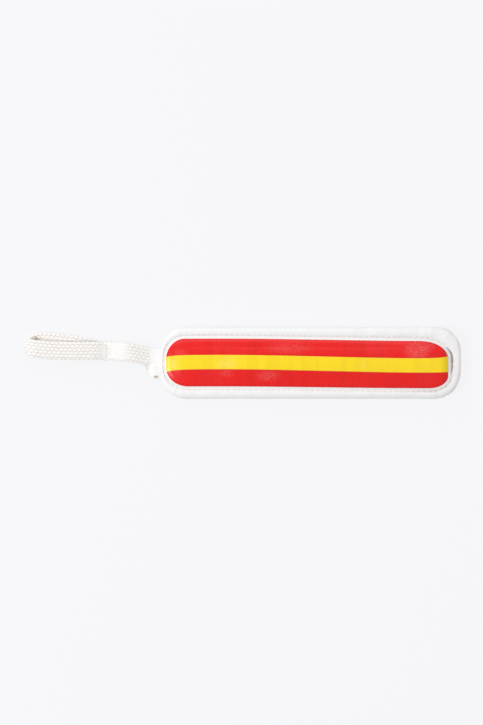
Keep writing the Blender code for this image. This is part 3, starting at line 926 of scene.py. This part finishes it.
def build_tack(sizes, colours):
    """The tack: thread over the upper leg in a zigzag and back under the lower one."""
    low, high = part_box("loop_tack_thread")
    middle = (low + high) / 2
    swing = (high.x - low.x) / 2 + 0.0002
    span = high.y - low.y - 0.0012
    over, under = 12, 6
    points = []
    for stitch in range(over + 1):
        share = stitch / over
        x = middle.x + (swing if stitch % 2 else -swing)
        droop = 0.0008 * abs(2 * share - 1) ** 6
        points.append(Vector((x, high.y - 0.0006 - span * share, high.z - 0.0002 - droop)))
    drop = [(0.0002, high.z - 0.0020), (0.0001, middle.z), (0.0002, low.z + 0.0010)]
    points += [Vector((middle.x, low.y + inset, z)) for inset, z in drop]
    for stitch in range(under + 1):
        y = low.y + 0.0006 + span * stitch / under
        points.append(Vector((middle.x, y, low.z + 0.0002)))
    points += [Vector((middle.x, high.y - inset, z)) for inset, z in reversed(drop)]
    columns, rows = 220, 8
    ring, _ = along_line(points + [points[0]], columns)
    made = Sheet(columns, rows)
    for vert in made.mesh.verts:
        index = round((vert.co.x + 0.5) * columns) % columns
        ahead = (ring[(index + 1) % columns] - ring[index - 1]).normalized()
        side = ahead.cross(Vector((0.0, 0.3, 1.0))).normalized()
        up = side.cross(ahead)
        angle = 2 * pi * (vert.co.y + 0.5)
        vert.co = ring[index] + (side * cos(angle) + up * sin(angle)) * sizes.thread_radius
    tack = made.finish("strap_tack", [thread_finish("tack_thread", colours.braid)])
    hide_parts("loop_tack_thread")
    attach(tack, "loop")
    return tack


# The pad


def cover_way(height):
    """How far a row of a two-layered cover lies from its middle line, from 0 to 1."""
    return 2 * height if height <= 0.5 else 2 * (1 - height)


def flange_point(around, way):
    """A point of a cover's flange, and how far out it lies, from 0 to 1."""
    tuck = (way - FLANGE_START) / (1 - FLANGE_START)
    reach = ring_reach(around) - LIP_OFFSET
    return ring_point(around, LIP_OFFSET + reach * FLANGE_SHARE * tuck), tuck


def swollen_face(sizes):
    """The foam-filled case, blown up a little by a cloth simulation, as a tree to measure."""
    columns, rows = 180, 24
    made = Sheet(columns, rows)
    for vert in made.mesh.verts:
        around = vert.co.x + 0.5
        height = vert.co.y + 0.5
        rim = ring_point(around, LIP_OFFSET)
        flat = spine_point(rim).lerp(rim, cover_way(height))
        z = STRAP_LEVEL if height >= 0.5 else dome(flat.x, flat.y) - 0.0004
        vert.co = Vector((flat.x, flat.y, z))
    pillow = made.finish("pillow", [])
    remesh = pillow.modifiers.new("remesh", "REMESH")
    remesh.mode = "VOXEL"
    remesh.voxel_size = 0.0026
    bake_modifiers(pillow)
    held = pillow.vertex_groups.new(name="held")
    rest = [vert.co.copy() for vert in pillow.data.vertices]
    for index, point in enumerate(rest):
        if point.z < STRAP_LEVEL + 0.001 or to_edge(point.x, point.y) < 0.0015:
            held.add([index], 1.0, "REPLACE")
    modifier = pillow.modifiers.new("cloth", "CLOTH")
    cloth = modifier.settings
    cloth.effector_weights.gravity = 0.0
    cloth.use_pressure = True
    cloth.uniform_pressure_force = 4.0
    cloth.vertex_group_mass = "held"
    cloth.quality = 6
    cloth.tension_stiffness = 15.0
    cloth.compression_stiffness = 15.0
    modifier.point_cache.frame_start = 1
    modifier.point_cache.frame_end = SWELL_FRAMES
    scene = bpy.context.scene
    for frame_number in range(1, SWELL_FRAMES + 1):
        scene.frame_set(frame_number)
    graph = bpy.context.evaluated_depsgraph_get()
    blown = [vert.co.copy() for vert in pillow.evaluated_get(graph).data.vertices]
    scene.frame_set(1)
    pillow.modifiers.clear()
    for vert, start, end in zip(pillow.data.vertices, rest, blown):
        move = end - start
        vert.co = start + move * min(1.0, sizes.swell / max(move.length, 1e-9))
    graph = bpy.context.evaluated_depsgraph_get()
    graph.update()
    tree = BVHTree.FromObject(pillow, graph)
    bpy.data.objects.remove(pillow)
    return tree


def bake_modifiers(piece):
    """Apply a piece's modifiers to its mesh."""
    graph = bpy.context.evaluated_depsgraph_get()
    done = bpy.data.meshes.new_from_object(piece.evaluated_get(graph))
    piece.modifiers.clear()
    piece.data = done


class Face:
    """The face's surface, kept once it is made."""

    tree = None


def face_height(x, y):
    """The face's height, with the padding's swell and the creases."""
    base = dome(x, y)
    fade = smooth(to_edge(x, y), 0.0006, 0.0060)
    lift = creases(x, y)
    if Face.tree:
        hit = Face.tree.ray_cast(Vector((x, y, 0.1)), Vector((0.0, 0.0, -1.0)))[0]
        if hit:
            lift += min(0.0007, max(-0.0005, hit.z - base + 0.0001))
    return base + lift * fade


def build_face(sizes, colours):
    """The padded face: the leatherette panel from its middle line to its flange."""
    Face.tree = swollen_face(sizes)
    columns, rows = 640, 44
    made = Sheet(columns, rows)
    shade_and_grime = made.numbers("shade_and_grime")
    lit_margin = made.numbers("lit_margin")
    made.rows_inside(0.5, 1.0)
    for vert in made.mesh.verts:
        around = vert.co.x + 0.5
        height = vert.co.y + 0.5
        way = cover_way(height)
        share = min(1.0, way / FLANGE_START)
        lip = ring_point(around, LIP_OFFSET)
        opened = gape(lip)
        rim = ring_point(around, LIP_OFFSET - 0.0002 * opened)
        spread = share**0.85
        flat = spine_point(rim).lerp(rim, spread)
        z = face_height(flat.x, flat.y)
        close = smooth(spread, 0.90, 1.0)
        if way > FLANGE_START:
            flat, tuck = flange_point(around, way)
            drop = smooth(tuck, 0.0, 0.30 + 0.20 * opened)
            z = (LIP_TOP - LIP_SPARE) * (1 - drop) + (FLANGE_TOP - 0.0003 * opened) * drop
            close = 1 + 1.5 * drop
        if height > 0.5:
            z -= LEATHER * (1.0 if share < 0.999 else 0.85)
        vert.co = Vector((flat.x, flat.y, z))
        # Painted shade in the slit's well, stronger as the face drops under the lip, mottled by
        # noise.
        shade_mottle = noise.noise(Vector((flat.x * 700.0, flat.y * 500.0, 4.0)))
        vert[shade_and_grime] = opened * close * (0.40 + 0.35 * shade_mottle)
        # Painted light: the face margin is painted lighter, less so at the slit, where painted
        # shade falls.
        vert[lit_margin] = 1.0 - 0.6 * opened
    leather = leather_finish("face_leatherette", colours.leather)
    face = made.finish("face_cover", [leather, backing_finish(colours.backing)])
    settle(face, "face_panel")


def crossings(x):
    """Where the print's outline crosses an x."""
    found = []
    for index in range(COUNT):
        a, b = EDGE[index - 1], EDGE[index]
        if (a.x - x) * (b.x - x) <= 0 and a.x != b.x:
            found.append(a.lerp(b, (x - a.x) / (b.x - a.x)))
    return found


def build_band(name, low_line, high_line, node, finish):
    """One band of the print, between two lines, cut off at the print's outline."""
    columns, rows = 300, 26
    spans = []
    left = min(point.x for point in EDGE) + 1e-5
    right = max(point.x for point in EDGE) - 1e-5
    samples = 1600
    for step in range(samples):
        share = 0.5 - 0.5 * cos(pi * step / (samples - 1))
        x = left + (right - left) * share
        ys = sorted(point.y for point in crossings(x))
        low = max(low_line(x), ys[0]) if low_line else ys[0]
        high = min(high_line(x), ys[-1]) if high_line else ys[-1]
        if high > low:
            spans.append((x, low, high))
    made = Sheet(columns, rows)
    for vert in made.mesh.verts:
        even = 0.5 - 0.5 * cos(pi * (vert.co.x + 0.5))
        place = even * (len(spans) - 1)
        index = min(int(place), len(spans) - 2)
        part = place - index
        x, low, high = (a + (b - a) * part for a, b in zip(spans[index], spans[index + 1]))
        x -= PRINT_END_SPARE * smooth(x, 0.078, 0.090)
        y = low + (high - low) * (vert.co.y + 0.5)
        vert.co = Vector((x, y, face_height(x, y) + FILM_RISE))
    band = made.finish(name, [finish])
    if band.data.polygons[len(band.data.polygons) // 2].normal.z < 0:
        band.data.flip_normals()
    solid = band.modifiers.new("film", "SOLIDIFY")
    solid.thickness = FILM_THICKNESS
    solid.offset = -1.0
    settle(band, node)


def build_prints(sizes, colours):
    """The three bands of the print."""
    red = film_finish("red_film", colours.red, RED_SHEEN_PATCHES)
    yellow = film_finish("yellow_film", colours.yellow, YELLOW_SHEEN_PATCHES)


    def above(x):
        return yellow_top(x) + BAND_GAP

    def below(x):
        return yellow_bottom(x) - BAND_GAP

    build_band("upper_red_print", above, None, "upper_red_band", red)
    build_band("yellow_print", yellow_bottom, yellow_top, "yellow_band", yellow)
    build_band("lower_red_print", None, below, "lower_red_band", red)


def stitch_places(sizes):
    """Places of the stitches round the seam, by their share of the way round."""
    steps = 2000
    seam = [ring_point(step / steps, STITCH_OFFSET) for step in range(steps)]
    seam.append(seam[0])
    _, length = even_places(seam, 1)
    count = round(length / sizes.stitch_pitch)
    places, _ = even_places(seam, 2 * count)
    return [(at + share) / steps for at, share in places[1::2]]


def hole_tree(sizes):
    """The needle holes between the stitches, as a tree to measure from."""
    places = stitch_places(sizes)
    after = places[1:] + [places[0] + 1.0]
    middles = [(a + b) / 2 for a, b in zip(places, after)]
    return flat_tree([ring_point(place, STITCH_OFFSET) for place in middles])


def lip_height(offset, reach, opened):
    """The binding's upper height on the way from its lip to its crest."""
    lip = LIP_OFFSET + SLIT_WIDTH * opened
    crest = lip + (reach - lip) * CREST_SHARE
    start = max(lip, STITCH_OFFSET)
    share = min(1.0, max(0.0, (offset - start) / (crest - start)))
    return LIP_TOP + (RIM_HIGH.z - LIP_TOP) * (1 - (1 - share) ** 2)


def ring_noise(around, turns, height):
    """Noise that meets itself after one way round."""
    reach = turns / (2 * pi)
    angle = 2 * pi * around
    return noise.noise(Vector((reach * cos(angle), reach * sin(angle), height)))


def bent_corner(point):
    """How much the binding turns at a place: 1 in the corners, 0 on the straights."""
    across = smooth(abs(point.x), HALF_LENGTH - PAD_CORNER - 0.012, HALF_LENGTH - 0.012)
    return across * smooth(abs(point.y), 0.004, 0.014)


def around_nose(way, start, end, crest, nose, half_height):
    """A point of the binding's rounded flank: its offset and its height."""
    angle = (way - start) / (end - start) * pi
    power = 2 / FLANK_ROUNDNESS
    offset = crest + (nose - crest) * sin(angle) ** power
    return offset, RIM_MIDDLE + half_height * signed_power(cos(angle), power)


def outer_profile(way, lip, reach, opened):
    """The binding's outer side: over its top, round its flank and back below."""
    crest = lip + (reach - lip) * CREST_SHARE
    if way < OUTER_FLANK[0]:
        offset = lip + (crest - lip) * way / OUTER_FLANK[0]
        return offset, lip_height(offset, reach, opened)
    if way < OUTER_FLANK[1]:
        return around_nose(way, *OUTER_FLANK, crest, reach, RIM_HIGH.z - RIM_MIDDLE)
    below = (way - OUTER_FLANK[1]) / (1 - OUTER_FLANK[1])
    return crest + (lip - crest) * below, RIM_LOW.z


def inner_profile(way, lip, reach, opened):
    """The binding's inner side: out below, round its flank and back under its top."""
    crest = lip + (reach - lip) * CREST_SHARE
    if way < INNER_FLANK[0]:
        return lip + (crest - lip) * way / INNER_FLANK[0], RIM_LOW.z + LEATHER
    if way < INNER_FLANK[1]:
        half_height = LEATHER - (RIM_HIGH.z - RIM_MIDDLE)
        return around_nose(way, *INNER_FLANK, crest, reach - LEATHER, half_height)
    offset = crest + (lip - crest) * (way - INNER_FLANK[1]) / (1 - INNER_FLANK[1])
    return offset, lip_height(offset, reach, opened) - LEATHER


def seam_marks(flat, offset, opened, far_end, loop_end, away, dimple):
    """What the sewing does to the binding's top: its lift, and the painted shade in its needle
    holes, its groove, along its lip and at the slit.
    """
    lip = LIP_OFFSET + SLIT_WIDTH * opened
    shut = 1 - smooth(opened, 0.0, 0.2)
    hole = exp(-((away / 0.00065) ** 2)) * shut
    row = exp(-(((offset - STITCH_OFFSET) / 0.00055) ** 2)) * shut
    groove = far_end * smooth(-flat.y, -0.002, 0.006)
    lift = -dimple * hole - 0.00006 * row - 0.00022 * groove * row
    # Painted shade: darker in the needle holes, along the lip near both ends, in the stitch groove
    # at the far end and at the slit's lip.
    shade_and_wear = 0.50 * hole + 0.05 * (far_end + loop_end) * exp(-((offset - lip) / 0.0005))
    shade_and_wear += 0.50 * groove * exp(-(((offset - STITCH_OFFSET + 0.0001) / 0.0009) ** 2))
    shade_and_wear += 0.55 * opened * exp(-((offset - lip) / 0.0007))
    return lift, shade_and_wear


def build_binding(sizes, colours):
    """The rolled binding over the pad's edge, puckered at its corners and open at the slit."""
    columns, rows = 760, 48
    holes = hole_tree(sizes)
    made = Sheet(columns, rows)
    shade_and_grime = made.numbers("shade_and_grime")
    lit_margin = made.numbers("lit_margin")
    made.rows_inside(OUTER_END + 0.02, 1.0)
    for vert in made.mesh.verts:
        around = vert.co.x + 0.5
        height = vert.co.y + 0.5
        if height > 1 - 0.5 / rows:
            height = 0.0
        reach = ring_reach(around)
        opened = gape(ring_point(around, LIP_OFFSET))
        lip = LIP_OFFSET + SLIT_WIDTH * opened
        if height > OUTER_END:
            way = (height - OUTER_END) / (1 - OUTER_END)
            offset, z = inner_profile(way, lip, reach, opened)
            flat = ring_point(around, offset)
            vert.co = Vector((flat.x, flat.y, max(z, 0.0002)))
            continue
        way = height / OUTER_END
        offset, z = outer_profile(way, lip, reach, opened)
        flat = ring_point(around, offset)
        edge = ring_point(around, 0.0)
        far_end = smooth(edge.x, 0.055, 0.085)
        loop_end = smooth(-edge.x, 0.080, 0.097)
        fold = ring_noise(around, 210.0, height * 2.0)
        broad = ring_noise(around, 60.0, height * 3.0 + 7.0)
        lift, shade_and_wear = 0.0, 0.0
        if way < 0.5:
            away = holes.find((flat.x, flat.y, 0.0))[2]
            lift, shade_and_wear = seam_marks(flat, offset, opened, far_end, loop_end, away, sizes.dimple)
            covered = smooth(offset, STITCH_OFFSET - 0.0008, STITCH_OFFSET)
            # Painted light: the binding's lip beside the print is painted lighter, but not at the
            # slit.
            vert[lit_margin] = (1 - opened) * (1 - covered)
        soft = smooth(way, 0.02, 0.30) * (1 - smooth(way, 0.62, 0.84))
        # The far end's outer edge: partly rubbed wear, partly painted shade where it turns away
        # from the light.
        rubbed_and_shaded = smooth(edge.x, 0.074, 0.092) * (0.55 + 0.5 * fold)
        shade_and_wear += rubbed_and_shaded * smooth(way, 0.42, 0.56) * (1 - smooth(way, 0.7, 0.8))
        wrinkle = (bent_corner(edge) + 0.25) * (0.8 * fold + 0.6 * broad) * (1 + far_end)
        lift += soft * (sizes.pucker * wrinkle + 0.00025 * broad)
        if OUTER_FLANK[0] <= way <= OUTER_FLANK[1]:
            angle = (way - OUTER_FLANK[0]) / (OUTER_FLANK[1] - OUTER_FLANK[0]) * pi
            out = ring_point(around, offset + 0.0001) - flat
            flat = flat + out.normalized() * sin(angle) * min(lift, 0.00005)
            lift *= max(0.0, cos(angle))
        vert.co = Vector((flat.x, flat.y, max(z + lift, 0.0002)))
        vert[shade_and_grime] = min(0.9, shade_and_wear)
    leather = leather_finish("rim_leatherette", colours.leather)
    binding = made.finish("rim_binding", [leather, backing_finish(colours.backing)])
    binding.data.set_sharp_from_angle(angle=radians(50))
    settle(binding, "edge_binding")


def build_back(sizes, colours):
    """The back cover: flat where the pad rests and stepped up to its flange."""
    columns, rows = 480, 44
    made = Sheet(columns, rows)
    shade_and_grime = made.numbers("shade_and_grime")
    made.rows_inside(0.5, 1.0)
    step_height = RIM_LOW.z + LEATHER + 0.00005
    for vert in made.mesh.verts:
        around = vert.co.x + 0.5
        height = vert.co.y + 0.5
        way = cover_way(height)
        share = min(1.0, way / FLANGE_START)
        rim = ring_point(around, LIP_OFFSET)
        flat = spine_point(rim).lerp(rim, share)
        z = step_height * smooth(share, 0.88, 1.03)
        if way > FLANGE_START:
            flat, _ = flange_point(around, way)
            z = step_height
        if height > 0.5:
            z += LEATHER
        vert.co = Vector((flat.x, flat.y, z))
        # A little darker towards the flange.
        vert[shade_and_grime] = 0.05 * smooth(share, 0.93, 1.0)
    leather = leather_finish("back_leatherette", colours.leather)
    back = made.finish("back_cover", [leather, backing_finish(colours.backing)])
    settle(back, "back_panel")


def build_stitches(name, node, sizes, colours, above):
    """A row of stitches round the seam, each a short thread that dives at both ends."""
    rows = bmesh.new()
    places = stitch_places(sizes)
    for number, place in enumerate(places):
        middle = ring_point(place, STITCH_OFFSET)
        opened = gape(ring_point(place, LIP_OFFSET))
        if opened > 0.02:
            continue
        before, after = (ring_point(place + step, STITCH_OFFSET) for step in (-0.0008, 0.0008))
        ahead = (after - before).normalized()
        wander = 0.10 * noise.noise(Vector((number * 1.7, 0.0, 0.0)))
        turned = Vector((ahead.x - wander * ahead.y, ahead.y + wander * ahead.x, 0.0)).normalized()
        side = Vector((-turned.y, turned.x, 0.0))
        top = lip_height(STITCH_OFFSET, ring_reach(place), opened) - 0.00006
        height = top if above else RIM_LOW.z - 0.00002
        verts = bmesh.ops.create_uvsphere(rows, u_segments=8, v_segments=8, radius=1.0)["verts"]
        for vert in verts:
            along = vert.co.z
            section = Vector((vert.co.x, vert.co.y))
            if section.length > 1e-6:
                section *= sqrt(max(0.0, 1 - along**6)) / section.length
            dive = 0.00045 * abs(along) ** 5
            lift = section.y * sizes.thread_radius * 1.1 - dive
            z = height + lift if above else height - lift
            flat = turned * along * sizes.stitch_length / 2
            flat += side * section.x * sizes.thread_radius * 1.2
            vert.co = Vector((middle.x + flat.x, middle.y + flat.y, z))
    bmesh.ops.recalc_face_normals(rows, faces=rows.faces)
    made = as_object(rows, name, [thread_finish("white_thread", colours.thread)])
    settle(made, node)


def paint_inside(colours):
    """Finishes for the nodes that stay: the foam sheets and the board."""
    foam = foam_finish(colours.foam)
    board = board_finish(colours.board)
    for name, finish in [("front_foam", foam), ("back_foam", foam), ("stiffener_board", board)]:
        data = frame["nodes"][name].data
        if not data.materials:
            data.materials.append(finish)
        for index in range(len(data.materials)):
            data.materials[index] = finish


# The stage


def build_stage():
    """A pale floor, soft light and the camera straight above."""
    scene = bpy.context.scene
    scene.view_settings.view_transform = "Standard"
    floor = bmesh.new()
    bmesh.ops.create_grid(floor, x_segments=1, y_segments=1, size=3.0)
    pale = Finish("floor", 0.9, Specular_IOR_Level=0.0)
    pale.shader.inputs["Base Color"].default_value = (0.10, 0.10, 0.10, 1.0)
    pale.shader.inputs["Emission Color"].default_value = (0.826, 0.826, 0.842, 1.0)
    pale.shader.inputs["Emission Strength"].default_value = 1.0
    ground = as_object(floor, "floor", [pale.material])
    world = bpy.data.worlds.new("studio")
    world.use_nodes = True
    background = world.node_tree.nodes["Background"]
    background.inputs["Color"].default_value = (1.0, 1.0, 1.0, 1.0)
    background.inputs["Strength"].default_value = WORLD_STRENGTH
    scene.world = world
    for name, place, size, power in LAMPS:
        data = bpy.data.lights.new(name, "AREA")
        data.shape = "SQUARE"
        data.size = size
        data.energy = power
        lamp = bpy.data.objects.new(name, data)
        lamp.location = place
        lamp.rotation_euler = (LAMP_TARGET - lamp.location).to_track_quat("-Z", "Y").to_euler()
        scene.collection.objects.link(lamp)
    data = bpy.data.cameras.new("camera")
    data.lens = LENS_MM
    data.sensor_width = SENSOR_MM
    data.clip_start = 0.01
    camera = bpy.data.objects.new("camera", data)
    distance = VIEW_HEIGHT * LENS_MM / SENSOR_MM
    camera.location = Vector(VIEW_CENTRE) + Vector((0.0, 0.0, distance))
    scene.collection.objects.link(camera)
    scene.camera = camera


# Operators


def choices(context):
    """The sizes and the colours that the scene holds."""
    return context.scene.baton_sizes, context.scene.baton_colours


class BATON_OT_stage(bpy.types.Operator):
    """Set the floor, the light and the camera"""

    bl_idname = "baton.stage"
    bl_label = "Stage"

    def execute(self, context):
        build_stage()
        return {"FINISHED"}


class BATON_OT_strap(bpy.types.Operator):
    """Braid the wrist strap and tack its two legs together"""

    bl_idname = "baton.strap"
    bl_label = "Wrist strap"

    def execute(self, context):
        sizes, colours = choices(context)
        strap, path, length = build_strap(sizes, colours)
        tack = build_tack(sizes, colours)
        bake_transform(strap)
        return {"FINISHED"}


class BATON_OT_face(bpy.types.Operator):
    """Pad and cover the face"""

    bl_idname = "baton.face"
    bl_label = "Padded face"

    def execute(self, context):
        build_face(*choices(context))
        return {"FINISHED"}


class BATON_OT_prints(bpy.types.Operator):
    """Lay the two red bands and the yellow one on the face"""

    bl_idname = "baton.prints"
    bl_label = "Striped print"

    def execute(self, context):
        build_prints(*choices(context))
        return {"FINISHED"}


class BATON_OT_binding(bpy.types.Operator):
    """Roll the binding over the pad's edge"""

    bl_idname = "baton.binding"
    bl_label = "Edge binding"

    def execute(self, context):
        build_binding(*choices(context))
        return {"FINISHED"}


class BATON_OT_back(bpy.types.Operator):
    """Cover the back"""

    bl_idname = "baton.back"
    bl_label = "Back cover"

    def execute(self, context):
        build_back(*choices(context))
        return {"FINISHED"}


class BATON_OT_stitches(bpy.types.Operator):
    """Sew the seam, above and below"""

    bl_idname = "baton.stitches"
    bl_label = "Stitches"

    def execute(self, context):
        sizes, colours = choices(context)
        build_stitches("face_stitches", "topstitch_thread", sizes, colours, True)
        build_stitches("back_stitches", "bobbin_thread", sizes, colours, False)
        return {"FINISHED"}


class BATON_OT_inside(bpy.types.Operator):
    """Give the foam sheets and the stiffener board their finishes"""

    bl_idname = "baton.inside"
    bl_label = "Foam and board"

    def execute(self, context):
        paint_inside(context.scene.baton_colours)
        return {"FINISHED"}


OPERATORS = [
    BATON_OT_stage,
    BATON_OT_strap,
    BATON_OT_face,
    BATON_OT_prints,
    BATON_OT_binding,
    BATON_OT_back,
    BATON_OT_stitches,
    BATON_OT_inside,
]


class BATON_PT_pieces(bpy.types.Panel):
    """The baton's pieces, in the order in which they are made"""

    bl_idname = "BATON_PT_pieces"
    bl_label = "Padded hand baton"
    bl_space_type = "VIEW_3D"
    bl_region_type = "UI"
    bl_category = "Baton"

    def draw(self, context):
        for group in (context.scene.baton_sizes, context.scene.baton_colours):
            box = self.layout.box()
            for key in type(group).__annotations__:
                box.prop(group, key)
        for operator in OPERATORS:
            self.layout.operator(operator.bl_idname)


def register():
    """Register the classes and hang the properties on the scene."""
    for cls in [BatonSizes, BatonColours, *OPERATORS, BATON_PT_pieces]:
        bpy.utils.register_class(cls)
    bpy.types.Scene.baton_sizes = PointerProperty(type=BatonSizes)
    bpy.types.Scene.baton_colours = PointerProperty(type=BatonColours)


def unregister():
    """Take them away again."""
    del bpy.types.Scene.baton_colours
    del bpy.types.Scene.baton_sizes
    for cls in reversed([BatonSizes, BatonColours, *OPERATORS, BATON_PT_pieces]):
        bpy.utils.unregister_class(cls)


def main():
    """Make every piece."""
    register()
    bpy.ops.baton.stage()
    bpy.ops.baton.strap()
    bpy.ops.baton.face()
    bpy.ops.baton.prints()
    bpy.ops.baton.binding()
    bpy.ops.baton.back()
    bpy.ops.baton.stitches()
    bpy.ops.baton.inside()


if __name__ == "__main__":
    main()
